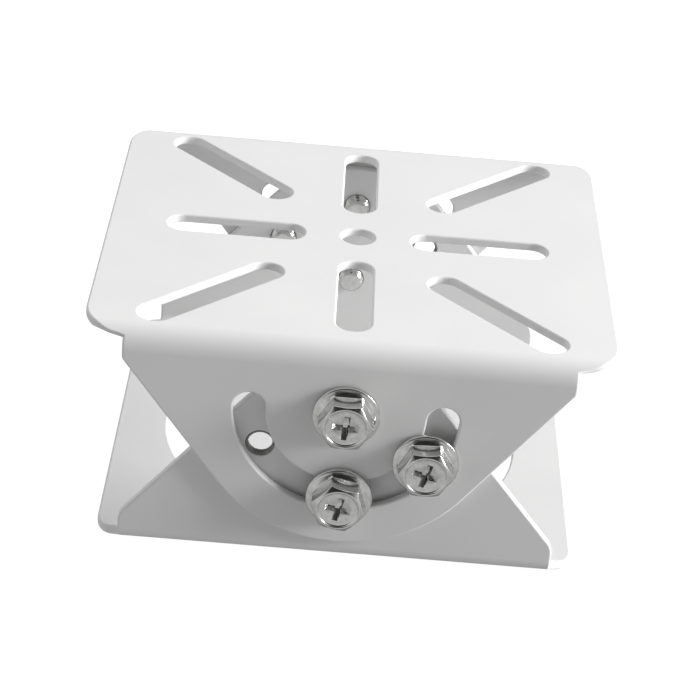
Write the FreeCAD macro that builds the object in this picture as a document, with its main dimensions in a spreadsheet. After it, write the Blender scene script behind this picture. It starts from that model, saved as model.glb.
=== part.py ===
import FreeCAD, Part
import math
import os
import Sketcher
from FreeCAD import Placement, Rotation, Vector

# Tilting mounting bracket for a camera, in millimetres.
# Two folded sheet steel brackets nest like two halves of a hinge: the upper one stands
# upside down over the lower one, and three flanged screws on each side join their flanges.
# The middle screw of each side is the pivot, and the other two slide in a curved slot of
# the upper flange, so the upper plate tilts about the pivot line and is then clamped.
# Frame: X along the plates, the front flange faces -Y, +Z up. The origin is under the middle
# of the lower plate, on the surface that it is mounted on.

os.makedirs("parts", exist_ok=True)
doc = FreeCAD.newDocument("pole_mount_adapter")
sheet = doc.addObject("Spreadsheet::Sheet", "sizes")

SIZES = [
    ("sheet_thickness", 2.0, "sheet steel of both brackets"),
    ("bend_radius", 3.5, "outer radius of the folds"),
    ("plate_length", 110.0, "upper plate, along X"),
    ("plate_width", 100.0, "over the outer faces of the upper flanges, along Y"),
    ("upper_ear", 8.5, "how far the upper plate runs past the end of its flanges"),
    ("upper_ear_corner", 10.5, "corner radius of the upper plate"),
    ("lower_ear", 4.9, "how far the lower plate runs past the end of its flanges"),
    ("lower_ear_corner", 5.3, "corner radius of the lower plate"),
    ("lower_ear_inset", 2.55, "side of the lower plate there, from the outer face of its flanges"),
    ("flange_gap", 0.15, "play between an upper flange and the lower flange inside it"),
    ("upper_edge", 2.3, "upright edge of the upper flange, next to the fold"),
    ("upper_edge_corner", 2.0, "radius from that edge into the slanted edge"),
    ("lower_edge", 1.8, "upright edge of the lower flange, next to the fold"),
    ("lower_edge_corner", 5.0, "radius from that edge into the slanted edge"),
    ("flange_rim", 8.65, "metal outside the curved slot of the upper flange"),
    ("base_clearance", 5.8, "from the tip of the upper flange down to the mounting surface"),
    ("lower_tip_radius", 27.5, "tip of the lower flange"),
    ("pivot_wall", 6.95, "metal over the pivot hole of the lower flange"),
    ("tip_clearance", 1.9, "from the tip of the lower flange up to the fold of the upper one"),
    ("slot_width", 7.4, "slots of the upper plate"),
    ("slot_start", 11.8, "inner end of the straight slots, from the middle"),
    ("slot_margin", 7.9, "outer end of the straight slots, from the edge of the plate"),
    ("diagonal_start", 23.5, "inner end of the diagonal slots, from the middle"),
    ("diagonal_margin", 9.3, "centre of the outer end of a diagonal slot, from the edge"),
    ("centre_hole", 7.4, "hole in the middle of each plate, diameter"),
    ("base_slot_radius", 36.5, "middle line of the curved slots of the lower plate"),
    ("base_slot_width", 7.4, "curved slots of the lower plate"),
    ("base_slot_span", 30.0, "degrees, from the middle of such a slot to its end"),
    ("bolt_radius", 20.0, "from the pivot to the clamping screws"),
    ("bolt_angle", 60.0, "degrees between two neighbouring clamping screw holes"),
    ("curved_slot_span", 90.0, "degrees, from the lowest point of the curved slot to its end"),
    ("slot_clearance", 0.35, "around a screw in the curved slot"),
    ("pivot_clearance", 0.08, "around a screw in the pivot hole of the upper flange"),
    ("thread_clearance", 0.05, "around a screw in a tapped hole of the lower flange"),
    ("seat_gap", 0.05, "under the head of a screw"),
    ("thread_diameter", 6.0, "screws"),
    ("screw_length", 6.0, "under the head"),
    ("point_chamfer", 0.6, "at the end of the thread"),
    ("washer_diameter", 14.0, "flange forged on the head"),
    ("washer_thickness", 1.2, "thickness of that flange"),
    ("hexagon_flats", 10.0, "across the flats"),
    ("head_height", 5.6, "from the seat to the top of the head"),
    ("face_inset", 0.3, "from a flat of the hexagon to its round top face"),
    ("face_chamfer", 30.0, "degrees, where the corners of the hexagon are turned down"),
    ("recess_reach", 3.0, "cross recess, from the middle to the end of an arm"),
    ("recess_arm", 1.25, "width of an arm of the cross recess"),
    ("recess_depth", 2.5, "cross recess, below the top face"),
]
for row, (alias, value, meaning) in enumerate(SIZES, start=1):
    sheet.set(f"A{row}", alias)
    sheet.set(f"B{row}", str(value))
    sheet.set(f"C{row}", meaning)
    sheet.setAlias(f"B{row}", alias)
doc.recompute()

# What follows from the sizes above, as expressions on the sheet.
FLANGE_LENGTH = "(sizes.plate_length - 2 * sizes.upper_ear)"
UPPER_TIP_RADIUS = (
    "(sizes.bolt_radius + sizes.thread_diameter / 2 + sizes.slot_clearance + sizes.flange_rim)"
)
PIVOT_HEIGHT = f"({UPPER_TIP_RADIUS} + sizes.base_clearance)"
PIVOT_RIM = "(sizes.thread_diameter / 2 + sizes.thread_clearance + sizes.pivot_wall)"
PIVOT_DROP = f"(sizes.bend_radius + sizes.tip_clearance + {PIVOT_RIM})"
TOP = f"({PIVOT_HEIGHT} + {PIVOT_DROP})"
LOWER_WIDTH = "(sizes.plate_width - 2 * sizes.sheet_thickness - 2 * sizes.flange_gap)"
CURVED_SLOT_WIDTH = "(sizes.thread_diameter + 2 * sizes.slot_clearance)"
PIVOT_HOLE = "(sizes.thread_diameter + 2 * sizes.pivot_clearance)"
TAPPED_HOLE = "(sizes.thread_diameter + 2 * sizes.thread_clearance)"


def number(expression):
    """Value of an expression on the sheet, for the starting shape of a sketch."""
    return float(sheet.evalExpression(expression))


class Outline:
    """A sketch on one of its body's origin planes, moved out along the plane's normal."""

    def __init__(self, body, name, plane, lift="0", turn="0"):
        self.sketch = body.newObject("Sketcher::SketchObject", name)
        face = next(f for f in body.Origin.OriginFeatures if f.Role == plane)
        self.sketch.AttachmentSupport = [(face, "")]
        self.sketch.MapMode = "FlatFace"
        self.sketch.AttachmentOffset = Placement(Vector(), Rotation(Vector(0, 0, 1), 1))
        self.sketch.setExpression("AttachmentOffset.Base.z", lift)
        self.sketch.setExpression("AttachmentOffset.Rotation.Angle", turn)

    def line(self, start, end):
        edge = Part.LineSegment(Vector(*start, 0), Vector(*end, 0))
        return self.sketch.addGeometry(edge, False)

    def arc(self, centre, radius, start, end):
        """Arc that runs anticlockwise from one angle to the other, in degrees."""
        circle = Part.Circle(Vector(*centre, 0), Vector(0, 0, 1), radius)
        arc = Part.ArcOfCircle(circle, math.radians(start), math.radians(end))
        return self.sketch.addGeometry(arc, False)

    def tie(self, kind, *references):
        return self.sketch.addConstraint(Sketcher.Constraint(kind, *references))

    def size(self, kind, references, expression):
        index = self.tie(kind, *references, number(expression))
        self.sketch.setExpression(f"Constraints[{index}]", expression)

    def place(self, index, point, x, y):
        """Put a point of an edge at two expressions from the origin."""
        self.size("DistanceX", (-1, 1, index, point), x)
        self.size("DistanceY", (-1, 1, index, point), y)

    def circle(self, x, y, diameter):
        centre = Vector(number(x), number(y), 0)
        shape = Part.Circle(centre, Vector(0, 0, 1), number(diameter) / 2)
        index = self.sketch.addGeometry(shape, False)
        self.size("Diameter", (index,), diameter)
        self.place(index, 3, x, y)

    def polygon(self, points):
        """Closed run of straight lines through points given as pairs of expressions."""
        corners = [(number(x), number(y)) for x, y in points]
        lines = []
        for start, end in zip(corners, corners[1:] + corners[:1]):
            lines.append(self.line(start, end))
        for first, second in zip(lines, lines[1:] + lines[:1]):
            self.tie("Coincident", first, 2, second, 1)
        for index, (x, y) in zip(lines, points):
            self.place(index, 1, x, y)

    def straight_slot(self, start, end, width):
        """Round-ended slot along the sketch's X axis, from tip to tip."""
        half = number(width) / 2
        near = number(start) + half
        far = number(end) - half
        inner = self.arc((near, 0), half, 90, 270)
        lower = self.line((near, -half), (far, -half))
        outer = self.arc((far, 0), half, 270, 450)
        upper = self.line((far, half), (near, half))
        self.tie("Tangent", inner, 2, lower, 1)
        self.tie("Tangent", lower, 2, outer, 1)
        self.tie("Tangent", outer, 2, upper, 1)
        self.tie("Tangent", upper, 2, inner, 1)
        self.size("Radius", (inner,), f"{width} / 2")
        self.place(inner, 3, f"{start} + {width} / 2", "0")
        self.place(outer, 3, f"{end} - {width} / 2", "0")

    def curved_slot(self, height, radius, middle, span, width):
        """Round-ended slot bent about a point on the sketch's Y axis."""
        centre = (0, number(height))
        first = number(f"{middle} - {span}")
        last = number(f"{middle} + {span}")
        half = number(width) / 2
        ends = []
        for angle in (first, last):
            x = number(radius) * math.cos(math.radians(angle))
            y = number(radius) * math.sin(math.radians(angle))
            ends.append((x, y + centre[1]))
        outer = self.arc(centre, number(radius) + half, first, last)
        last_end = self.arc(ends[1], half, last, last + 180)
        inner = self.arc(centre, number(radius) - half, first, last)
        first_end = self.arc(ends[0], half, first + 180, first + 360)
        self.tie("Tangent", outer, 2, last_end, 1)
        self.tie("Tangent", last_end, 2, inner, 2)
        self.tie("Tangent", inner, 1, first_end, 1)
        self.tie("Tangent", first_end, 2, outer, 1)
        self.tie("Coincident", outer, 3, inner, 3)
        self.size("Radius", (outer,), f"{radius} + {width} / 2")
        self.size("Radius", (last_end,), f"{width} / 2")
        self.place(outer, 3, "0", height)
        for index, angle in ((first_end, f"({middle} - {span})"), (last_end, f"({middle} + {span})")):
            self.size("DistanceY", (-1, 1, index, 3), f"{height} + {radius} * sin{angle}")


def pad(body, outline, length, both_ways=False):
    feature = body.newObject("PartDesign::Pad", f"{outline.sketch.Name}_pad")
    feature.Profile = outline.sketch
    if both_ways:
        feature.SideType = "Symmetric"
    feature.setExpression("Length", length)
    return feature


def pocket(body, outline, depth):
    """Cut from the sketch plane down into the plate or the head."""
    feature = body.newObject("PartDesign::Pocket", f"{outline.sketch.Name}_pocket")
    feature.Profile = outline.sketch
    feature.setExpression("Length", depth)
    return feature


def origin_feature(body, role):
    return next(f for f in body.Origin.OriginFeatures if f.Role == role)


def mirror(body, feature, plane):
    copy = body.newObject("PartDesign::Mirrored", f"{feature.Name}_mirror")
    copy.Originals = [feature]
    copy.MirrorPlane = (origin_feature(body, plane), [""])
    body.Tip = copy


def repeat_around(body, feature, count):
    """Copies of a feature, evenly spaced around the body's Z axis."""
    copies = body.newObject("PartDesign::PolarPattern", f"{feature.Name}_pattern")
    copies.Originals = [feature]
    copies.Axis = (origin_feature(body, "Z_Axis"), [""])
    copies.Angle = 360
    copies.Occurrences = count
    body.Tip = copies


def section(body, width):
    """The bent section: a flat plate with a quarter bend at each side, flanges left off."""
    outline = Outline(body, "section", "YZ_Plane")
    side = number(f"{width} / 2")
    radius = number("sizes.bend_radius")
    inner_radius = number("sizes.bend_radius - sizes.sheet_thickness")
    flat = side - radius
    under = outline.line((-flat, 0), (flat, 0))
    right = outline.arc((flat, radius), radius, -90, 0)
    right_end = outline.line((side, radius), (flat + inner_radius, radius))
    right_inner = outline.arc((flat, radius), inner_radius, -90, 0)
    over = outline.line((flat, radius - inner_radius), (-flat, radius - inner_radius))
    left_inner = outline.arc((-flat, radius), inner_radius, 180, 270)
    left_end = outline.line((-flat - inner_radius, radius), (-side, radius))
    left = outline.arc((-flat, radius), radius, 180, 270)
    outline.tie("Tangent", under, 2, right, 1)
    outline.tie("Perpendicular", right, 2, right_end, 1)
    outline.tie("Coincident", right_end, 2, right_inner, 2)
    outline.tie("Tangent", right_inner, 1, over, 1)
    outline.tie("Tangent", over, 2, left_inner, 2)
    outline.tie("Coincident", left_inner, 1, left_end, 1)
    outline.tie("Perpendicular", left_end, 2, left, 1)
    outline.tie("Tangent", left, 2, under, 1)
    outline.tie("Coincident", right, 3, right_inner, 3)
    outline.tie("Coincident", left, 3, left_inner, 3)
    outline.tie("Horizontal", right_end)
    outline.tie("Horizontal", left_end)
    outline.size("Radius", (right,), "sizes.bend_radius")
    outline.size("Radius", (right_inner,), "sizes.bend_radius - sizes.sheet_thickness")
    outline.place(right, 3, f"{width} / 2 - sizes.bend_radius", "sizes.bend_radius")
    outline.place(left, 3, f"sizes.bend_radius - {width} / 2", "sizes.bend_radius")
    return outline


def ear(body, side, reach, corner):
    """Outline of the plate past one end of its flanges, rounded from there to the plate's end."""
    outline = Outline(body, "ear", "XY_Plane")
    root = number(f"{FLANGE_LENGTH} / 2")
    end = root + number(reach)
    half = number(side)
    radius = number(corner)
    angle = math.degrees(math.acos((root - end + radius) / radius))
    middle = half - radius * math.sin(math.radians(angle))
    inner = outline.line((root, half), (root, -half))
    lower_corner = outline.arc((end - radius, -middle), radius, -angle, 0)
    outer = outline.line((end, -middle), (end, middle))
    upper_corner = outline.arc((end - radius, middle), radius, 0, angle)
    outline.tie("Coincident", inner, 2, lower_corner, 1)
    outline.tie("Tangent", lower_corner, 2, outer, 1)
    outline.tie("Tangent", outer, 2, upper_corner, 1)
    outline.tie("Coincident", upper_corner, 2, inner, 1)
    outline.tie("Vertical", outer)
    outline.tie("Equal", lower_corner, upper_corner)
    outline.size("Radius", (lower_corner,), corner)
    outline.place(inner, 1, f"{FLANGE_LENGTH} / 2", side)
    outline.place(inner, 2, f"{FLANGE_LENGTH} / 2", f"-{side}")
    outline.size("DistanceX", (inner, 2, outer, 1), reach)
    return outline


def flange(body, width, edge, corner, tip_height, tip_radius):
    """Outline of a flange: short upright edges, slanted edges and a round tip."""
    lift = f"{width} / 2 - sizes.sheet_thickness"
    outline = Outline(body, "flange", "XZ_Plane", lift)
    side = number(f"{FLANGE_LENGTH} / 2")
    fold = number("sizes.bend_radius")
    top = fold + number(edge)
    small = number(corner)
    hub = number(tip_height)
    large = number(tip_radius)
    # The slanted edge touches the corner arc and the tip arc at the same angle.
    across = side - small
    rise = top - hub
    reach = math.hypot(across, rise)
    angle = math.acos((large - small) / reach) + math.atan2(rise, across)
    cosine = math.cos(angle)
    sine = math.sin(angle)
    turn = math.degrees(angle)
    low = (across + small * cosine, top + small * sine)
    high = (large * cosine, hub + large * sine)
    base = outline.line((-side, fold), (side, fold))
    right = outline.line((side, fold), (side, top))
    right_corner = outline.arc((across, top), small, 0, turn)
    right_slant = outline.line(low, high)
    tip = outline.arc((0, hub), large, turn, 180 - turn)
    left_slant = outline.line((-high[0], high[1]), (-low[0], low[1]))
    left_corner = outline.arc((-across, top), small, 180 - turn, 180)
    left = outline.line((-side, top), (-side, fold))
    run = [right, right_corner, right_slant, tip, left_slant, left_corner, left]
    for first, second in zip(run, run[1:]):
        outline.tie("Tangent", first, 2, second, 1)
    outline.tie("Coincident", base, 2, right, 1)
    outline.tie("Coincident", left, 2, base, 1)
    outline.tie("Vertical", right)
    outline.tie("Equal", right, left)
    outline.tie("Equal", right_corner, left_corner)
    outline.size("Radius", (right_corner,), corner)
    outline.size("Radius", (tip,), tip_radius)
    outline.size("Distance", (right,), edge)
    outline.place(base, 1, f"-{FLANGE_LENGTH} / 2", "sizes.bend_radius")
    outline.place(base, 2, f"{FLANGE_LENGTH} / 2", "sizes.bend_radius")
    outline.place(tip, 3, "0", tip_height)
    return outline


def folded_bracket(name, width, ear_sizes, flange_sizes, cut_flange, cut_plate):
    """A bracket folded from one sheet, lying on its plate with both flanges up."""
    body = doc.addObject("PartDesign::Body", name)
    body.Label = name
    pad(body, section(body, width), FLANGE_LENGTH, both_ways=True)
    mirror(body, pad(body, ear(body, *ear_sizes), "sizes.sheet_thickness"), "YZ_Plane")
    outline = flange(body, width, *flange_sizes)
    cut_flange(outline)
    mirror(body, pad(body, outline, "sizes.sheet_thickness"), "XZ_Plane")
    cut_plate(body)
    hole = Outline(body, "centre_hole", "XY_Plane", "sizes.sheet_thickness")
    hole.circle("0", "0", "sizes.centre_hole")
    body.Tip = pocket(body, hole, "sizes.sheet_thickness")
    return body


def upper_flange_holes(outline):
    """Pivot hole and the curved slot around it."""
    outline.circle("0", PIVOT_DROP, PIVOT_HOLE)
    outline.curved_slot(
        PIVOT_DROP, "sizes.bolt_radius", "90", "sizes.curved_slot_span", CURVED_SLOT_WIDTH
    )


def upper_plate_slots(body):
    """Eight slots that point at the middle, for bolts on many hole circles."""
    straight = Outline(body, "straight_slot", "XY_Plane", "sizes.sheet_thickness")
    straight_end = "(sizes.plate_width / 2 - sizes.slot_margin)"
    straight.straight_slot("sizes.slot_start", straight_end, "sizes.slot_width")
    repeat_around(body, pocket(body, straight, "sizes.sheet_thickness"), 4)
    diagonal = Outline(body, "diagonal_slot", "XY_Plane", "sizes.sheet_thickness", "45")
    corner = "(sizes.plate_width / 2 - sizes.diagonal_margin)"
    diagonal_end = f"({corner} * sqrt(2) + sizes.slot_width / 2)"
    diagonal.straight_slot("sizes.diagonal_start", diagonal_end, "sizes.slot_width")
    repeat_around(body, pocket(body, diagonal, "sizes.sheet_thickness"), 4)


def lower_flange_holes(outline):
    """Tapped holes: the pivot and three below it, of which each side uses two."""
    outline.circle("0", PIVOT_HEIGHT, TAPPED_HOLE)
    for step in (-1, 0, 1):
        angle = f"({step} * sizes.bolt_angle)"
        x = f"sizes.bolt_radius * sin{angle}"
        y = f"{PIVOT_HEIGHT} - sizes.bolt_radius * cos{angle}"
        outline.circle(x, y, TAPPED_HOLE)


def lower_plate_slots(body):
    """Two slots curved about the middle, so that the bracket can be turned as it is fixed."""
    outline = Outline(body, "base_slot", "XY_Plane", "sizes.sheet_thickness")
    outline.curved_slot(
        "0", "sizes.base_slot_radius", "0", "sizes.base_slot_span", "sizes.base_slot_width"
    )
    repeat_around(body, pocket(body, outline, "sizes.sheet_thickness"), 2)


def screw(name, cross_turn):
    """Short screw with a flanged hexagon head and a cross recess, standing head up on its seat."""
    body = doc.addObject("PartDesign::Body", name)
    body.Label = name
    turned = Outline(body, "turned_profile", "XZ_Plane")
    seat = "sizes.washer_diameter / 2"
    thread = "sizes.thread_diameter / 2"
    turned.polygon([
        ("0", "-sizes.screw_length"),
        (f"{thread} - sizes.point_chamfer", "-sizes.screw_length"),
        (thread, "sizes.point_chamfer - sizes.screw_length"),
        (thread, "0"),
        (seat, "0"),
        (seat, "sizes.washer_thickness"),
        ("0", "sizes.washer_thickness"),
    ])
    axis = origin_feature(body, "Z_Axis")
    shank = body.newObject("PartDesign::Revolution", "shank_and_washer")
    shank.Profile = turned.sketch
    shank.ReferenceAxis = (axis, [""])
    shank.Angle = 360
    hexagon = Outline(body, "hexagon", "XY_Plane")
    corner = "sizes.hexagon_flats / sqrt(3)"
    corners = []
    for step in range(6):
        corners.append((f"{corner} * cos({60 * step})", f"{corner} * sin({60 * step})"))
    hexagon.polygon(corners)
    pad(body, hexagon, "sizes.head_height")
    face = "(sizes.hexagon_flats / 2 - sizes.face_inset)"
    drop = f"({corner} - {face}) * tan(sizes.face_chamfer)"
    turned_down = Outline(body, "turned_down_corners", "XZ_Plane")
    turned_down.polygon([
        (face, "sizes.head_height"),
        (f"2 * {corner} - {face}", f"sizes.head_height - 2 * {drop}"),
        (f"2 * {corner} - {face}", "sizes.head_height"),
    ])
    cone = body.newObject("PartDesign::Groove", "corner_cone")
    cone.Profile = turned_down.sketch
    cone.ReferenceAxis = (axis, [""])
    cone.Angle = 360
    cross = Outline(body, "cross_recess", "XY_Plane", "sizes.head_height", str(cross_turn))
    half = "sizes.recess_arm / 2"
    reach = "sizes.recess_reach"
    cross.polygon([
        (reach, f"-{half}"), (reach, half), (half, half), (half, reach),
        (f"-{half}", reach), (f"-{half}", half), (f"-{reach}", half), (f"-{reach}", f"-{half}"),
        (f"-{half}", f"-{half}"), (f"-{half}", f"-{reach}"), (half, f"-{reach}"), (half, f"-{half}"),
    ])
    body.Tip = pocket(body, cross, "sizes.recess_depth")
    return body


lower = folded_bracket(
    "lower_bracket",
    LOWER_WIDTH,
    (f"({LOWER_WIDTH} / 2 - sizes.lower_ear_inset)", "sizes.lower_ear", "sizes.lower_ear_corner"),
    (
        "sizes.lower_edge",
        "sizes.lower_edge_corner",
        f"({PIVOT_HEIGHT} + {PIVOT_RIM} - sizes.lower_tip_radius)",
        "sizes.lower_tip_radius",
    ),
    lower_flange_holes,
    lower_plate_slots,
)

upper = folded_bracket(
    "upper_bracket",
    "sizes.plate_width",
    ("(sizes.plate_width / 2)", "sizes.upper_ear", "sizes.upper_ear_corner"),
    ("sizes.upper_edge", "sizes.upper_edge_corner", PIVOT_DROP, UPPER_TIP_RADIUS),
    upper_flange_holes,
    upper_plate_slots,
)
# It stands upside down over the lower bracket.
upper.Placement = Placement(Vector(), Rotation(Vector(1, 0, 0), 180))
upper.setExpression("Placement.Base.z", TOP)

# Name, side (-1 front, 1 rear), steps of the bolt angle from straight below the pivot or None
# for the pivot itself, and how far head and cross recess are turned, in degrees.
SCREWS = [
    ("front_pivot_screw", -1, None, 0, -5),
    ("front_lower_screw", -1, 0, -12, 0),
    ("front_side_screw", -1, 1, 3, -19),
    ("rear_pivot_screw", 1, None, 20, 0),
    ("rear_lower_screw", 1, 0, -8, 10),
    ("rear_side_screw", 1, 1, 27, -6),
]
screws = []
for name, side, step, head_turn, cross_turn in SCREWS:
    fastener = screw(name, cross_turn)
    lying = Rotation(Vector(1, 0, 0), -90 * side)
    fastener.Placement = Placement(Vector(), lying * Rotation(Vector(0, 0, 1), head_turn))
    if step is None:
        x = "0"
        z = PIVOT_HEIGHT
    else:
        angle = f"({step} * sizes.bolt_angle)"
        x = f"{-side} * sizes.bolt_radius * sin{angle}"
        z = f"{PIVOT_HEIGHT} - sizes.bolt_radius * cos{angle}"
    fastener.setExpression("Placement.Base.x", x)
    fastener.setExpression("Placement.Base.y", f"{side} * (sizes.plate_width / 2 + sizes.seat_gap)")
    fastener.setExpression("Placement.Base.z", z)
    screws.append(fastener)

doc.recompute()

for item in doc.Objects:
    if "Invalid" in item.State or "Error" in item.State:
        raise RuntimeError(f"{item.Name} failed: {item.State}")
nodes = [upper, lower] + screws
for node in nodes:
    shape = node.Shape
    if shape.isNull() or not shape.isValid() or len(shape.Solids) != 1:
        raise RuntimeError(f"{node.Label} is not one sound solid")
for node in nodes:
    node.Shape.exportStep(f"parts/{node.Label}.step")
    print(node.Label, round(node.Shape.Volume, 1), "mm3")
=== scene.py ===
import math
from collections import namedtuple

import bmesh
import bpy
from mathutils import Matrix, Vector
from mathutils.geometry import tessellate_polygon


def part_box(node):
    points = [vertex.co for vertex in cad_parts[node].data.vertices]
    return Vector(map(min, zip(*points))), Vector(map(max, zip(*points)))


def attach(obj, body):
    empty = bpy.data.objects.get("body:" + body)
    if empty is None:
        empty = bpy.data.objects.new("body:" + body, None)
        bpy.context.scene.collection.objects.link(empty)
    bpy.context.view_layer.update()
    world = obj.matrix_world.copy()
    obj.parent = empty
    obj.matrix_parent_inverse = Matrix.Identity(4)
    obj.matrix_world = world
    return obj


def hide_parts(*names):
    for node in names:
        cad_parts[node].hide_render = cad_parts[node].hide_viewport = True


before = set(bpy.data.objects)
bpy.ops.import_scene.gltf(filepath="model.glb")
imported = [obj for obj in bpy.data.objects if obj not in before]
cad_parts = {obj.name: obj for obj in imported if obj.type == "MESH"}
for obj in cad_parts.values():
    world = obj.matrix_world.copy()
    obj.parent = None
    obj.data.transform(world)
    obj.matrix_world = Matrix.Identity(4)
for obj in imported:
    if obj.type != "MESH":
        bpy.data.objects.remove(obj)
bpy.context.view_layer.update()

MM = 0.001

# The photograph's view of the part: a close camera, 30 degrees above it and slightly tilted.
CAMERA_AT = (-8.2 * MM, -434.6 * MM, 277.1 * MM)
CAMERA_AZIMUTH = 1.15
CAMERA_DOWN = 30.2
CAMERA_ROLL = 5.3
CAMERA_LENS = 113.5

# The room is light behind the part and dark where the photograph was taken from. The stops
# lie on a line that rises towards the camera: 0 is far behind the part and 1 over the camera.
SIGHT_RISE = math.radians(30)
ROOM_STOPS = ((0.3, 1.0), (0.58, 0.54), (0.8, 0.54), (0.93, 0.015))
# The ceiling ahead of the part is lighter than the ground behind it.
CEILING_LEAN = math.radians(40)
GROUND_LIFT = 0.1
CEILING_LIFT = 1.9

# One softbox stands to the right of the part. Metres and watts.
SOFTBOX_AT = (1.685, -0.15, 0.65)
SOFTBOX_TOWARDS = (0, 0, 0.03)
SOFTBOX_WIDTH = 1.0
SOFTBOX_HEIGHT = 0.6
SOFTBOX_POWER = 49.0

# The floor lies just under the part, so that no two surfaces are in one place.
FLOOR_HALF = 6.0
FLOOR_DROP = 0.02 * MM
FLOOR_TONE = 0.25
FLOOR_GLOW = 0.93

# Depth of the fine unevenness of coat and zinc.
BUMP_DEPTH = 0.02 * MM

# The folded sheets. The bends are outer radii of the folds, and INNER_BEND is the one inside.
SHEET = 2.0 * MM
UPPER_HALF_WIDTH = 50.0 * MM
LOWER_HALF_WIDTH = 47.85 * MM
UPPER_BEND = 4.8 * MM
LOWER_BEND = 3.5 * MM
INNER_BEND = 1.5 * MM
# End of the flanges, from the middle.
ROOT = 46.5 * MM
TOP = 53.2 * MM
PIVOT = 37.8 * MM
PIVOT_DROP = 15.4 * MM
BOLT_RADIUS = 20.0 * MM
# From straight below the pivot to the next clamping screw.
BOLT_ANGLE = 60

# Slots are given by their width, holes by their radius.
SLOT = 7.4 * MM
CURVED_SLOT = 6.7 * MM
PIVOT_HOLE = 3.08 * MM
TAPPED_HOLE = 3.05 * MM
STRAIGHT_SLOT_ENDS = (11.8 * MM, 42.1 * MM)
DIAGONAL_SLOT_ENDS = (23.5 * MM, 40.7 * MM * math.sqrt(2) + SLOT / 2)
BASE_SLOT_RADIUS = 36.5 * MM
BASE_SLOT_SPAN = 30

# Edges of the powder-coated sheet are softly rounded.
SHEET_EDGE = 0.5 * MM
HOLE_EDGE = 0.3 * MM
EDGE_STEPS = 4
FOLD_STEPS = 18
# Arcs under SMALL_ARC have a point at each SMALL_TURN degrees, larger ones at each ARC_STEP.
SMALL_ARC = 5.0 * MM
SMALL_TURN = 6.0
ARC_STEP = 0.8 * MM
# Points of a sheet that are closer together than this are one.
WELD = 0.0005 * MM

# The screws: six alike, M6 by 6, with a flanged hexagon head and a cross recess.
THREAD_RADIUS = 3.0 * MM
THREAD_PITCH = 1.0 * MM
THREAD_DEPTH = 0.55 * MM
THREAD_STEPS = 58
# The thread's first and last row, from the point and from the head.
THREAD_END = 0.05 * MM
# Below the head the thread is plain, and then its ridges grow.
PLAIN_LENGTH = 0.4 * MM
GROWING_LENGTH = 0.8 * MM
SCREW_LENGTH = 6.0 * MM
POINT_RADIUS = 2.35 * MM
POINT_ROWS = (1.2 * MM, 2.3 * MM)
HEXAGON_FLATS = 10.0 * MM
HEXAGON_ROUNDING = 0.35 * MM
CORNER_STEPS = 6
FLAT_STEPS = 14
HEAD_HEIGHT = 5.6 * MM
FACE_RADIUS = 4.7 * MM
FACE_SLOPE = math.tan(math.radians(30))
SEAT_GAP = 0.05 * MM
# Height, reach of an arm and half its width: over the head, and on the recess's floor.
RECESS_LEVELS = (
    (HEAD_HEIGHT + 0.5 * MM, 3.42 * MM, 0.66 * MM),
    (HEAD_HEIGHT - 2.54 * MM, 1.15 * MM, 0.46 * MM),
)
# Where two arms meet, as a share of half an arm's width.
RECESS_CORNER = 1.15
RECESS_EDGE = 0.06 * MM
RECESS_EDGE_ANGLE = math.radians(42)

# Half profiles of the head, in millimetres: radius and height, unless a comment says otherwise.
# Seat, rounded rim, flat ring, and the rise to the hexagon.
WASHER_PROFILE = (
    (4.0, 0.0), (6.7, 0.0), (6.9, 0.05), (6.98, 0.18), (7.0, 0.35), (7.0, 0.8), (6.97, 0.95),
    (6.88, 1.06), (6.72, 1.12), (6.5, 1.15), (6.2, 1.17), (6.1, 1.19), (6.02, 1.26), (5.92, 1.36),
)
# The rise ends on the walls of the hexagon, in a small hollow: out from the wall, and height.
WALL_PROFILE = ((0.12, 1.5), (0.05, 1.62), (0.015, 1.76), (0.0, 1.95), (0.0, 2.6), (0.0, 3.3))
# Fine break of the walls' upper edge: up from where the cone meets them, and in from the wall.
BREAK_PROFILE = ((-0.22, 0.0), (-0.1, 0.02), (-0.03, 0.08))
# Rows on the cone, as shares of the way from the hexagon's edge to the round face.
CONE_SHARES = (0.2, 0.6)
# Raised rim and sunken face.
FACE_PROFILE = (
    (4.78, 5.53), (4.68, 5.575), (4.58, 5.59), (4.42, 5.59), (4.32, 5.57), (4.24, 5.5),
    (4.16, 5.38), (4.06, 5.3), (3.9, 5.27), (3.6, 5.26), (3.2, 5.26),
)

# The cut thread in the tapped holes that stay empty. It stops short of the sheet's faces.
BARE_INNER = 2.58 * MM
BARE_DEPTH = 0.42 * MM
BARE_OUTER = 3.045 * MM
BARE_END = 0.06 * MM
BARE_ROWS = 24
BARE_POINTS = 72

# Side of the part, and how far the head and its recess are turned.
SCREWS = {
    "front_pivot_screw": (-1, 0, -5),
    "front_lower_screw": (-1, -12, 0),
    "front_side_screw": (-1, 3, -19),
    "rear_pivot_screw": (1, 20, 0),
    "rear_lower_screw": (1, -8, 10),
    "rear_side_screw": (1, 27, -6),
}


def new_object(name, data):
    piece = bpy.data.objects.new(name, data)
    bpy.context.scene.collection.objects.link(piece)
    return piece


def as_mesh(shape, name):
    mesh = bpy.data.meshes.new(name)
    bmesh.ops.recalc_face_normals(shape, faces=shape.faces)
    shape.to_mesh(mesh)
    shape.free()
    return mesh


def smooth(mesh):
    for face in mesh.polygons:
        face.use_smooth = True


def bridge(shape, rings):
    """Faces from each ring of vertices to the next."""
    count = len(rings[0])
    for low, high in zip(rings, rings[1:]):
        for index in range(count):
            after = (index + 1) % count
            shape.faces.new((low[index], low[after], high[after], high[index]))


def principled(name):
    """A material, with its shader node."""
    material = bpy.data.materials.new(name)
    material.use_nodes = True
    return material, material.node_tree.nodes["Principled BSDF"]


def own_place(tree):
    """Coordinates in metres that move with the piece."""
    return tree.nodes.new("ShaderNodeTexCoord").outputs["Object"]


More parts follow.
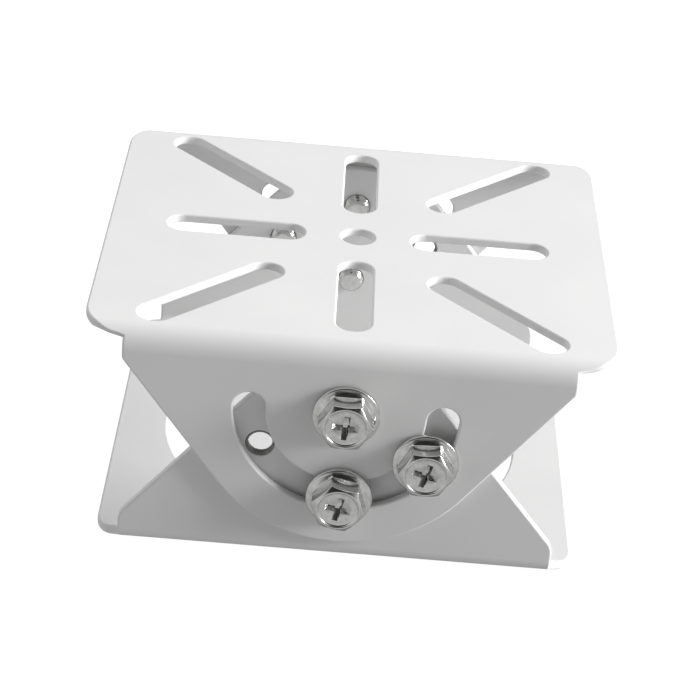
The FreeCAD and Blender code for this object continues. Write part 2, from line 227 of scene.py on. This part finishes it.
def noise(tree, place, scale, detail=2.0, roughness=0.5):
    node = tree.nodes.new("ShaderNodeTexNoise")
    node.inputs["Scale"].default_value = scale
    node.inputs["Detail"].default_value = detail
    node.inputs["Roughness"].default_value = roughness
    tree.links.new(place, node.inputs["Vector"])
    return node.outputs["Fac"]


def spread(tree, value, low, high):
    """Takes a noise, whose values are mostly from 0.3 to 0.7, from low to high."""
    node = tree.nodes.new("ShaderNodeMapRange")
    node.inputs["From Min"].default_value = 0.3
    node.inputs["From Max"].default_value = 0.7
    node.inputs["To Min"].default_value = low
    node.inputs["To Max"].default_value = high
    tree.links.new(value, node.inputs["Value"])
    return node.outputs["Result"]


def tint(tree, shader, value, low, high):
    """Base colour that a noise takes from one colour to another."""
    node = tree.nodes.new("ShaderNodeMix")
    node.data_type = "RGBA"
    node.inputs["A"].default_value = (*low, 1.0)
    node.inputs["B"].default_value = (*high, 1.0)
    tree.links.new(spread(tree, value, 0.0, 1.0), node.inputs["Factor"])
    tree.links.new(node.outputs["Result"], shader.inputs["Base Color"])


def bumps(tree, shader, height, strength):
    node = tree.nodes.new("ShaderNodeBump")
    node.inputs["Distance"].default_value = BUMP_DEPTH
    node.inputs["Strength"].default_value = strength
    tree.links.new(height, node.inputs["Height"])
    tree.links.new(node.outputs["Normal"], shader.inputs["Normal"])


def powder_coat():
    """White powder coat: half matt, with a faint orange peel and an uneven tone."""
    material, shader = principled("white_powder_coat")
    tree = material.node_tree
    place = own_place(tree)
    tone = noise(tree, place, 35.0, 3.0)
    tint(tree, shader, tone, (0.73, 0.73, 0.73), (0.76, 0.76, 0.757))
    gloss = noise(tree, place, 420.0)
    tree.links.new(spread(tree, gloss, 0.40, 0.50), shader.inputs["Roughness"])
    shader.inputs["Specular IOR Level"].default_value = 0.45
    peel = noise(tree, place, 900.0, 3.0, 0.6)
    bumps(tree, shader, peel, 0.6)
    return material


def bright_zinc():
    """Bright plated steel of the screws, with fine rolling and tumbling marks."""
    material, shader = principled("bright_zinc")
    tree = material.node_tree
    place = own_place(tree)
    tone = noise(tree, place, 700.0, 4.0, 0.6)
    tint(tree, shader, tone, (0.56, 0.56, 0.55), (0.71, 0.71, 0.70))
    shader.inputs["Metallic"].default_value = 1.0
    marks = noise(tree, place, 2500.0, 3.0, 0.6)
    tree.links.new(spread(tree, marks, 0.14, 0.24), shader.inputs["Roughness"])
    bumps(tree, shader, tone, 0.4)
    return material


def shaded_bare_steel():
    """Cut steel of the empty threads. Its dark tone is partly the bare steel's own and partly
    painted shade of the hole's wall.
    """
    material, shader = principled("shaded_bare_steel")
    tree = material.node_tree
    tone = noise(tree, own_place(tree), 900.0, 3.0, 0.6)
    # The base colour is darker than bare steel alone: it also paints the shade inside the tapped
    # hole.
    tint(tree, shader, tone, (0.24, 0.24, 0.235), (0.34, 0.34, 0.33))
    shader.inputs["Metallic"].default_value = 1.0
    shader.inputs["Roughness"].default_value = 0.5
    return material


# A point of a cut edge on the flat sheet, with the direction that its cut face looks to.
# A point without rounding isn't on a cut edge, because the sheet goes on past it.
EdgePoint = namedtuple("EdgePoint", "x v look_x look_v rounding")


def heading(degrees):
    angle = math.radians(degrees)
    return Vector((math.cos(angle), math.sin(angle)))


def arc_point(centre, radius, turn, rounding=SHEET_EDGE, hollow=False):
    out = heading(turn)
    look = -out if hollow else out
    return EdgePoint(*(Vector(centre) + out * radius), *look, rounding)


def edge_arc(centre, radius, start, end, rounding=SHEET_EDGE, hollow=False):
    """Points of an arc, in degrees. The metal lies within it, or around it if it is hollow."""
    step = SMALL_TURN if radius < SMALL_ARC else math.degrees(ARC_STEP / radius)
    count = max(2, math.ceil(abs(end - start) / step))
    points = []
    for index in range(count + 1):
        turn = start + (end - start) * index / count
        points.append(arc_point(centre, radius, turn, rounding, hollow))
    return points


def round_hole(centre, radius, rounding):
    return edge_arc(centre, radius, 0, 360, rounding, hollow=True)[:-1]


def straight_slot(start, end, width, turn):
    half = width / 2
    near = heading(turn) * (start + half)
    far = heading(turn) * (end - half)
    points = edge_arc(near, half, turn + 90, turn + 270, hollow=True)
    return points + edge_arc(far, half, turn + 270, turn + 450, hollow=True)


def curved_slot(centre, radius, width, first, last):
    half = width / 2
    first_end, last_end = (Vector(centre) + heading(turn) * radius for turn in (first, last))
    points = edge_arc(centre, radius + half, first, last, hollow=True)
    points += edge_arc(last_end, half, last, last + 180, hollow=True)[1:-1]
    points += edge_arc(centre, radius - half, last, first)
    points += edge_arc(first_end, half, first + 180, first + 360, hollow=True)[1:-1]
    return points


def to_flange(points, way):
    """Points of the flat sheet for the rear flange (1) or the front flange (-1)."""
    return [point._replace(v=point.v * way, look_v=point.look_v * way) for point in points]


def mirrored(points):
    """Points of the flat sheet, carried over to the other end of the folds."""
    return [point._replace(x=-point.x, look_x=-point.look_x) for point in points]


def inside_of_fold(out, bend):
    """Where a direction from the middle of a fold meets its inner surface, and its look there."""
    reach = bend - SHEET
    round_at = reach - INNER_BEND
    if out.y * reach <= -out.z * round_at:
        return out * (reach / -out.z), Vector((0, 0, -1))
    if -out.z * reach <= out.y * round_at:
        return out * (reach / out.y), Vector((0, 1, 0))
    middle = Vector((0, round_at, -round_at))
    along = middle.dot(out)
    length = along + math.sqrt(along ** 2 - middle.length_squared + INNER_BEND ** 2)
    spot = out * length
    return spot, (spot - middle).normalized()


class FoldedSheet:
    """A plate with a flange folded at each side, built flat with soft edges and folded up.

    On the flat sheet, x runs along the folds and v across them. Heights are those of the
    lower bracket, which lies on its plate. The upper one is turned over in the end.
    """

    def __init__(self, half_width, bend, turned_over):
        self.bend = bend
        self.turned_over = turned_over
        self.fold = half_width - bend
        self.fold_end = self.fold + bend * math.pi / 2
        self.shape = bmesh.new()
        self.known = {}
        self.normals = []

    def at_height(self, height):
        """Place on the flat sheet of a height on the flange."""
        return self.fold_end + height - self.bend

    def placed(self, x, v, depth, look):
        """Point and direction in the room, for a point and a direction of the flat sheet."""
        look_x, look_v, look_out = look
        way = 1 if v >= 0 else -1
        look_v *= way
        v = abs(v)
        angle = min(max((v - self.fold) / self.bend, 0.0), math.pi / 2)
        out = Vector((0, math.sin(angle), -math.cos(angle)))
        outer = out * self.bend
        inner, inner_out = inside_of_fold(out, self.bend)
        if look_out < 0:
            out = inner_out
        along = Vector((0, -out.z, out.y))
        spot = Vector((x, self.fold, self.bend)) + outer.lerp(inner, depth / SHEET)
        if v < self.fold:
            spot.y += v - self.fold
        elif v > self.fold_end:
            spot.z += v - self.fold_end
        normal = Vector((look_x, 0, 0)) + along * look_v + out * look_out
        for vector in (spot, normal):
            vector.y *= way
            if self.turned_over:
                vector.z *= -1
        if self.turned_over:
            spot.z += TOP
        return spot, normal.normalized()

    def vertex(self, x, v, depth, look):
        spot, normal = self.placed(x, v, depth, look)
        key = tuple(round(value / WELD) for value in spot)
        if key not in self.known:
            self.known[key] = self.shape.verts.new(spot)
            self.normals.append(normal)
        return self.known[key]

    def face(self, corners):
        """A face, unless so many of its corners are one that none is left."""
        around = []
        for corner in corners:
            if corner not in around:
                around.append(corner)
        if len(around) > 2:
            self.shape.faces.new(around)

    def edge_rows(self, points):
        """Vertices of a cut edge: one row per level, from the outer to the inner surface."""
        turns = [math.pi / 2 * level / EDGE_STEPS for level in range(EDGE_STEPS + 1)]
        levels = [(turn, False) for turn in turns] + [(turn, True) for turn in reversed(turns)]
        rows = []
        for turn, inner in levels:
            side = math.sin(turn)
            out = math.cos(turn)
            row = []
            for point in points:
                inset = point.rounding * (1 - side)
                depth = point.rounding * (1 - out)
                look = (0, 0, -1 if inner else 1)
                if point.rounding:
                    look = (point.look_x * side, point.look_v * side, -out if inner else out)
                row.append(self.vertex(
                    point.x - point.look_x * inset,
                    point.v - point.look_v * inset,
                    SHEET - depth if inner else depth,
                    look,
                ))
            rows.append(row)
        return rows

    def cut_edge(self, points, closed=False):
        """A cut edge, and its rows on the outer and the inner surface."""
        rows = self.edge_rows(points)
        count = len(points)
        for upper, lower in zip(rows, rows[1:]):
            for index in range(count if closed else count - 1):
                after = (index + 1) % count
                if points[index].rounding and points[after].rounding:
                    self.face((upper[index], upper[after], lower[after], lower[index]))
        return rows[0], rows[-1]

    def cut_holes(self, holes):
        """The holes' edges, and their loops on the outer and the inner surface."""
        edges = [self.cut_edge(hole, closed=True) for hole in holes]
        loops = []
        for which in (0, 1):
            loops.append([self.surface_loop(hole, rows[which]) for hole, rows in zip(holes, edges)])
        return loops

    def surface_loop(self, points, vertices):
        """Vertices, each with its point on the flat sheet, inside the edge's rounding."""
        loop = []
        for point, vertex in zip(points, vertices):
            x = point.x - point.look_x * point.rounding
            v = point.v - point.look_v * point.rounding
            loop.append((vertex, (x, v)))
        return loop

    def fill(self, outline, holes):
        """Flat face with holes, from loops of vertices with their points on the flat sheet."""
        loops = [outline] + holes
        flat = [[Vector((*spot, 0)) for vertex, spot in loop] for loop in loops]
        vertices = [vertex for loop in loops for vertex, spot in loop]
        for corners in tessellate_polygon(flat):
            self.face([vertices[corner] for corner in corners])

    def fold_rows(self, ear_side):
        """Places across the fold: where ear and flange are one sheet, and past the ear's side."""
        width = self.bend * math.pi / 2
        places = [self.fold + width * step / FOLD_STEPS for step in range(FOLD_STEPS + 1)]
        shared = [v for v in places if v < ear_side - 1.2 * SHEET_EDGE]
        free = [v for v in places if v > ear_side]
        return shared, free

    def flange(self, corner_height, edge_corner, tip_height, tip_radius, ear_side, holes):
        """A fold with its flange, at both sides: upright ends, slanted edges and a round tip."""
        shared, free = self.fold_rows(ear_side)
        fold_points = [EdgePoint(ROOT, v, 0, 0, 0.0) for v in shared]
        fold_points.append(EdgePoint(ROOT, ear_side, 1, 1, SHEET_EDGE))
        fold_points += [EdgePoint(ROOT, v, 1, 0, SHEET_EDGE) for v in free]
        across = ROOT - edge_corner
        rise = corner_height - tip_height
        slant = math.acos((tip_radius - edge_corner) / math.hypot(across, rise))
        slant = math.degrees(slant + math.atan2(rise, across))
        corner = (across, self.at_height(corner_height))
        tip = (0, self.at_height(tip_height))
        right = fold_points + edge_arc(corner, edge_corner, 0, slant)
        right += edge_arc(tip, tip_radius, slant, 90)
        outline = right + mirrored(right)[-2::-1]
        last = len(fold_points) - 1
        for way in (1, -1):
            points = to_flange(outline, way)
            surfaces = self.cut_edge(points)
            hole_loops = self.cut_holes([to_flange(hole, way) for hole in holes])
            for row, inner in zip(surfaces, hole_loops):
                for step in range(last):
                    self.face((row[step], row[step + 1], row[-2 - step], row[-1 - step]))
                self.fill(self.surface_loop(points, row)[last:-last], inner)

    def plate(self, ear_side, ear, ear_corner, holes):
        """The flat plate, with an ear at each end whose tips are folded with the flanges."""
        centre = Vector((ROOT + ear - ear_corner, 0))
        centre.y = ear_side - math.sqrt(ear_corner ** 2 - (ROOT - centre.x) ** 2)
        shared = self.fold_rows(ear_side)[0]
        turns = [math.degrees(math.asin((v - centre.y) / ear_corner)) for v in shared]
        half = edge_arc(centre, ear_corner, 0, turns[0])
        flat = len(half)
        half += [arc_point(centre, ear_corner, turn) for turn in turns[1:]]
        half.append(EdgePoint(ROOT, ear_side, 1, 1, SHEET_EDGE))
        right = to_flange(half, -1)[::-1] + half
        left = mirrored(right)[::-1]
        count = len(half)
        hole_loops = self.cut_holes(holes)
        edges = [(1, right, self.cut_edge(right)), (-1, left, self.cut_edge(left))]
        for which, (depth, look) in enumerate(((0.0, (0, 0, 1)), (SHEET, (0, 0, -1)))):
            outline = []
            for side, points, surfaces in edges:
                row = surfaces[which]
                loop = self.surface_loop(points, row)[count - flat:count + flat]
                roots = []
                for way in (-1, 1):
                    root = [self.vertex(side * ROOT, v * way, depth, look) for v in shared]
                    tip = row[count:] if way == side else row[:count][::-1]
                    tip = tip[flat - 1:]
                    for step in range(len(root) - 1):
                        self.face((root[step], root[step + 1], tip[step + 1], tip[step]))
                    self.face((root[-1], tip[-1], tip[-2]))
                    roots.append((root[0], (side * ROOT, self.fold * way)))
                roots = roots if side > 0 else roots[::-1]
                outline += [roots[0]] + loop + [roots[1]]
            self.fill(outline, hole_loops[which])

    def finish(self, name, node, material):
        mesh = as_mesh(self.shape, name)
        smooth(mesh)
        mesh.normals_split_custom_set_from_vertices(self.normals)
        mesh.materials.append(material)
        piece = new_object(name, mesh)
        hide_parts(node)
        return piece


def bolt_place(turn):
    """Along X and in height, by the angle at the pivot from straight below it."""
    angle = math.radians(turn)
    return BOLT_RADIUS * math.sin(angle), PIVOT - BOLT_RADIUS * math.cos(angle)


def upper_sheet():
    sheet = FoldedSheet(UPPER_HALF_WIDTH, UPPER_BEND, turned_over=True)
    pivot = (0, sheet.at_height(PIVOT_DROP))
    ear_side = 49.5 * MM
    sheet.flange(
        corner_height=5.8 * MM,
        edge_corner=2.0 * MM,
        tip_height=PIVOT_DROP,
        tip_radius=32.0 * MM,
        ear_side=ear_side,
        holes=[
            round_hole(pivot, PIVOT_HOLE, HOLE_EDGE),
            curved_slot(pivot, BOLT_RADIUS, CURVED_SLOT, 0, 180),
        ],
    )
    plate_holes = [round_hole((0, 0), SLOT / 2, SHEET_EDGE)]
    for turn in (0, 90, 180, 270):
        plate_holes.append(straight_slot(*STRAIGHT_SLOT_ENDS, SLOT, turn))
        plate_holes.append(straight_slot(*DIAGONAL_SLOT_ENDS, SLOT, turn + 45))
    sheet.plate(ear_side, ear=8.5 * MM, ear_corner=10.0 * MM, holes=plate_holes)
    return sheet


def lower_sheet():
    sheet = FoldedSheet(LOWER_HALF_WIDTH, LOWER_BEND, turned_over=False)
    flange_holes = [round_hole((0, sheet.at_height(PIVOT)), TAPPED_HOLE, HOLE_EDGE)]
    for turn in (-BOLT_ANGLE, 0, BOLT_ANGLE):
        x, height = bolt_place(turn)
        flange_holes.append(round_hole((x, sheet.at_height(height)), TAPPED_HOLE, HOLE_EDGE))
    ear_side = 46.6 * MM
    sheet.flange(
        corner_height=5.3 * MM,
        edge_corner=5.0 * MM,
        tip_height=20.3 * MM,
        tip_radius=27.5 * MM,
        ear_side=ear_side,
        holes=flange_holes,
    )
    plate_holes = [round_hole((0, 0), SLOT / 2, SHEET_EDGE)]
    for turn in (0, 180):
        first = turn - BASE_SLOT_SPAN
        last = turn + BASE_SLOT_SPAN
        plate_holes.append(curved_slot((0, 0), BASE_SLOT_RADIUS, SLOT, first, last))
    sheet.plate(ear_side, ear=4.9 * MM, ear_corner=5.9 * MM, holes=plate_holes)
    return sheet


def hexagon_outline():
    """Points of a hexagon with round corners, flats facing +Y and -Y, in turning order."""
    points = []
    inner = HEXAGON_FLATS / 2 - HEXAGON_ROUNDING
    centres = [heading(60 * corner) * inner / math.cos(math.radians(30)) for corner in range(7)]
    for corner, (centre, next_centre) in enumerate(zip(centres, centres[1:])):
        direction = 60 * corner
        for step in range(CORNER_STEPS + 1):
            turn = direction - 30 + 60 * step / CORNER_STEPS
            points.append(centre + heading(turn) * HEXAGON_ROUNDING)
        start = points[-1]
        end = next_centre + heading(direction + 30) * HEXAGON_ROUNDING
        for step in range(1, FLAT_STEPS):
            points.append(start.lerp(end, step / FLAT_STEPS))
    return points


HEXAGON = hexagon_outline()
TURNS = [math.atan2(point.y, point.x) for point in HEXAGON]


def around(radius, turn, height):
    return Vector((radius * math.cos(turn), radius * math.sin(turn), height))


def circle_row(radius, height):
    return [around(radius, turn, height) for turn in TURNS]


def wall_point(point, inset, height):
    """A point of the hexagon, drawn in by a fixed distance."""
    length = point.length
    return Vector((*(point * (length - inset) / length), height))


def hexagon_row(inset, height):
    return [wall_point(point, inset, height) for point in HEXAGON]


def turned_down_row(lift, inset):
    """Where the cone that turns the corners down meets the hexagon's walls."""
    row = []
    for point in HEXAGON:
        height = HEAD_HEIGHT - (point.length - FACE_RADIUS) * FACE_SLOPE + lift
        row.append(wall_point(point, inset, height))
    return row


def cone_row(share):
    """A row on the cone between the hexagon's edge and the round face."""
    outer = turned_down_row(0.0, 0.12 * MM)
    inner = circle_row(FACE_RADIUS + 0.1 * MM, HEAD_HEIGHT - 0.06 * MM)
    return [start.lerp(end, share) for start, end in zip(outer, inner)]


def thread_phase(height, turn):
    """How far a place lies in its turn of the thread, from 0 to 1."""
    return (height / THREAD_PITCH - turn / (2 * math.pi)) % 1.0


def thread_row(height):
    """A row of the screw thread; the ridges fade out at the point and below the head."""
    row = []
    grown = min(1.0, max(0.0, (-height - PLAIN_LENGTH) / GROWING_LENGTH))
    point_radius = POINT_RADIUS + (height + SCREW_LENGTH)
    for turn in TURNS:
        ridge = min(1.0, max(0.0, abs(thread_phase(height, turn) - 0.5) * 2.5 - 0.1))
        radius = THREAD_RADIUS - THREAD_DEPTH * ridge * grown
        row.append(around(min(radius, point_radius), turn, height))
    return row


def screw_rows():
    """Head up on its seat at height 0, from the point to the face."""
    rows = [circle_row(radius, -SCREW_LENGTH) for radius in POINT_ROWS]
    length = SCREW_LENGTH - 2 * THREAD_END
    for step in range(THREAD_STEPS + 1):
        rows.append(thread_row(THREAD_END - SCREW_LENGTH + step * length / THREAD_STEPS))
    rows.append(circle_row(THREAD_RADIUS, 0.0))
    rows += [circle_row(radius * MM, height * MM) for radius, height in WASHER_PROFILE]
    rows += [hexagon_row(-outset * MM, height * MM) for outset, height in WALL_PROFILE]
    rows += [turned_down_row(lift * MM, inset * MM) for lift, inset in BREAK_PROFILE]
    rows += [cone_row(share) for share in CONE_SHARES]
    rows += [circle_row(radius * MM, height * MM) for radius, height in FACE_PROFILE]
    return rows


def screw_shape():
    """The rows, joined ring by ring, with each end closed by one face."""
    shape = bmesh.new()
    rings = [[shape.verts.new(point) for point in row] for row in screw_rows()]
    bridge(shape, rings)
    shape.faces.new(list(reversed(rings[0])))
    shape.faces.new(rings[-1])
    return shape


def recess_shape():
    """A cross whose arms narrow and rise towards their ends, as a cross driver leaves it."""
    shape = bmesh.new()
    rings = []
    for height, reach, half in RECESS_LEVELS:
        inner = half * RECESS_CORNER
        ring = []
        for quarter in range(4):
            turn = Matrix.Rotation(math.radians(90 * quarter), 2)
            for x, y in ((reach, -half), (reach, half), (inner, inner)):
                spot = turn @ Vector((x, y))
                ring.append(shape.verts.new((spot.x, spot.y, height)))
        rings.append(ring)
    bridge(shape, rings)
    shape.faces.new(rings[0])
    shape.faces.new(list(reversed(rings[1])))
    return shape


def cut_recess(head, cross_turn):
    cutter = new_object("recess_cutter", as_mesh(recess_shape(), "recess_cutter"))
    cutter.rotation_euler.z = math.radians(cross_turn)
    cut = head.modifiers.new("recess", "BOOLEAN")
    cut.operation = "DIFFERENCE"
    cut.solver = "EXACT"
    cut.object = cutter
    bpy.context.view_layer.update()
    cut_head = head.evaluated_get(bpy.context.evaluated_depsgraph_get())
    cut_mesh = bpy.data.meshes.new_from_object(cut_head)
    head.modifiers.clear()
    head.data = cut_mesh
    bpy.data.objects.remove(cutter)


def out_of_flange(x, y, z, side):
    """From standing at the origin to lying in the front (-1) or the rear (1) flange."""
    return Matrix.Translation((x, y, z)) @ Matrix.Rotation(math.radians(-90 * side), 4, "X")


def make_screw(name, node, side, head_turn, cross_turn, material):
    """A screw on its own node's axis, with the head out to one side."""
    head = new_object(name, as_mesh(screw_shape(), name))
    cut_recess(head, cross_turn)
    low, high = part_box(node)
    middle = (low + high) / 2
    lying = out_of_flange(middle.x, side * (UPPER_HALF_WIDTH + SEAT_GAP), middle.z, side)
    head.data.transform(lying @ Matrix.Rotation(math.radians(head_turn), 4, "Z"))
    head.data.materials.clear()
    head.data.materials.append(material)
    smooth(head.data)
    soft = head.modifiers.new("recess_edges", "BEVEL")
    soft.width = RECESS_EDGE
    soft.segments = 2
    soft.limit_method = "ANGLE"
    soft.angle_limit = RECESS_EDGE_ANGLE
    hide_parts(node)
    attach(head, "base")


def bare_thread(name, side, material):
    """The cut thread of the tapped hole that the side screw of this flange leaves empty."""
    turns = [2 * math.pi * index / BARE_POINTS for index in range(BARE_POINTS)]
    rows = []
    for step in range(BARE_ROWS + 1):
        height = BARE_END + (SHEET - 2 * BARE_END) * step / BARE_ROWS
        row = []
        for turn in turns:
            valley = min(1.0, abs(thread_phase(height, turn) - 0.5) * 2.4)
            row.append(around(BARE_INNER + BARE_DEPTH * valley, turn, height))
        rows.append(row)
    for height in (SHEET - BARE_END, BARE_END):
        rows.append([around(BARE_OUTER, turn, height) for turn in turns])
    shape = bmesh.new()
    rings = [[shape.verts.new(point) for point in row] for row in rows]
    bridge(shape, rings + rings[:1])
    thread = new_object(name, as_mesh(shape, name))
    x, z = bolt_place(BOLT_ANGLE)
    thread.data.transform(out_of_flange(side * x, side * (LOWER_HALF_WIDTH - SHEET), z, side))
    smooth(thread.data)
    thread.data.materials.append(material)
    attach(thread, "base")


def add_camera():
    camera = new_object("camera", bpy.data.cameras.new("camera"))
    azimuth = math.radians(CAMERA_AZIMUTH)
    down = math.radians(CAMERA_DOWN)
    forward = Vector(
        (math.sin(azimuth) * math.cos(down), math.cos(azimuth) * math.cos(down), -math.sin(down))
    )
    level = forward.cross(Vector((0, 0, 1))).normalized()
    upright = level.cross(forward)
    roll = math.radians(CAMERA_ROLL)
    right = level * math.cos(roll) + upright * math.sin(roll)
    up = upright * math.cos(roll) - level * math.sin(roll)
    turn = Matrix((right, up, -forward)).transposed()
    camera.matrix_world = Matrix.Translation(CAMERA_AT) @ turn.to_4x4()
    camera.data.lens = CAMERA_LENS
    camera.data.sensor_width = 36.0
    camera.data.clip_start = 0.01
    bpy.context.scene.camera = camera


def add_softbox():
    data = bpy.data.lights.new("right", "AREA")
    data.shape = "RECTANGLE"
    data.size = SOFTBOX_WIDTH
    data.size_y = SOFTBOX_HEIGHT
    data.energy = SOFTBOX_POWER
    light = new_object("right", data)
    light.location = SOFTBOX_AT
    aim = Vector(SOFTBOX_TOWARDS) - Vector(SOFTBOX_AT)
    light.rotation_euler = aim.to_track_quat("-Z", "Y").to_euler()


def add_floor():
    mesh = bpy.data.meshes.new("floor")
    corners = [(-1, -1), (1, -1), (1, 1), (-1, 1)]
    spots = [(x * FLOOR_HALF, y * FLOOR_HALF, -FLOOR_DROP) for x, y in corners]
    mesh.from_pydata(spots, [], [(0, 1, 2, 3)])
    floor = new_object("floor", mesh)
    material, shader = principled("pale_floor")
    shader.inputs["Base Color"].default_value = (FLOOR_TONE, FLOOR_TONE, FLOOR_TONE, 1.0)
    shader.inputs["Roughness"].default_value = 1.0
    shader.inputs["Specular IOR Level"].default_value = 0.0
    shader.inputs["Emission Color"].default_value = (1.0, 1.0, 1.0, 1.0)
    shader.inputs["Emission Strength"].default_value = FLOOR_GLOW
    mesh.materials.append(material)
    # The floor is bright only where it is seen, and the part keeps the shade of its own underside.
    floor.visible_diffuse = False
    floor.visible_glossy = False


def along(tree, place, direction, low=0.0, high=1.0):
    """Value of each direction of the room: low away from the given one, high towards it."""
    share = tree.nodes.new("ShaderNodeVectorMath")
    share.operation = "DOT_PRODUCT"
    share.inputs[1].default_value = direction
    tree.links.new(place, share.inputs[0])
    value = tree.nodes.new("ShaderNodeMapRange")
    value.inputs["From Min"].default_value = -1.0
    value.inputs["To Min"].default_value = low
    value.inputs["To Max"].default_value = high
    tree.links.new(share.outputs["Value"], value.inputs["Value"])
    return value.outputs["Result"]


def add_world():
    world = bpy.data.worlds.new("studio")
    world.use_nodes = True
    bpy.context.scene.world = world
    tree = world.node_tree
    place = tree.nodes.new("ShaderNodeTexCoord").outputs["Generated"]
    sight = along(tree, place, (0.0, -math.cos(SIGHT_RISE), math.sin(SIGHT_RISE)))
    shade = tree.nodes.new("ShaderNodeValToRGB")
    stops = shade.color_ramp.elements
    for stop_at, strength in ROOM_STOPS:
        stops.new(stop_at).color = (strength, strength, strength, 1.0)
    stops[0].color = stops[1].color
    stops[-1].color = stops[-2].color
    tree.links.new(sight, shade.inputs["Fac"])
    overhead = (0.0, -math.sin(CEILING_LEAN), math.cos(CEILING_LEAN))
    lift = along(tree, place, overhead, GROUND_LIFT, CEILING_LIFT)
    lifted = tree.nodes.new("ShaderNodeMath")
    lifted.operation = "MULTIPLY"
    tree.links.new(shade.outputs["Color"], lifted.inputs[0])
    tree.links.new(lift, lifted.inputs[1])
    background = tree.nodes["Background"]
    background.inputs["Color"].default_value = (1.0, 1.0, 1.0, 1.0)
    tree.links.new(lifted.outputs["Value"], background.inputs["Strength"])


COAT = powder_coat()
ZINC = bright_zinc()

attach(upper_sheet().finish("upper_sheet", "upper_bracket", COAT), "top")
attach(lower_sheet().finish("lower_sheet", "lower_bracket", COAT), "base")

for node_name, (side, head_turn, cross_turn) in SCREWS.items():
    piece_name = node_name.replace("_screw", "_bolt")
    make_screw(piece_name, node_name, side, head_turn, cross_turn, ZINC)

# Dark steel for the empty threads: its own tone together with painted shade of the hole's wall.
SHADED_CUT_STEEL = shaded_bare_steel()
bare_thread("front_bare_thread", -1, SHADED_CUT_STEEL)
bare_thread("rear_bare_thread", 1, SHADED_CUT_STEEL)

add_camera()
add_floor()
add_world()
add_softbox()
bpy.context.scene.view_settings.view_transform = "Standard"
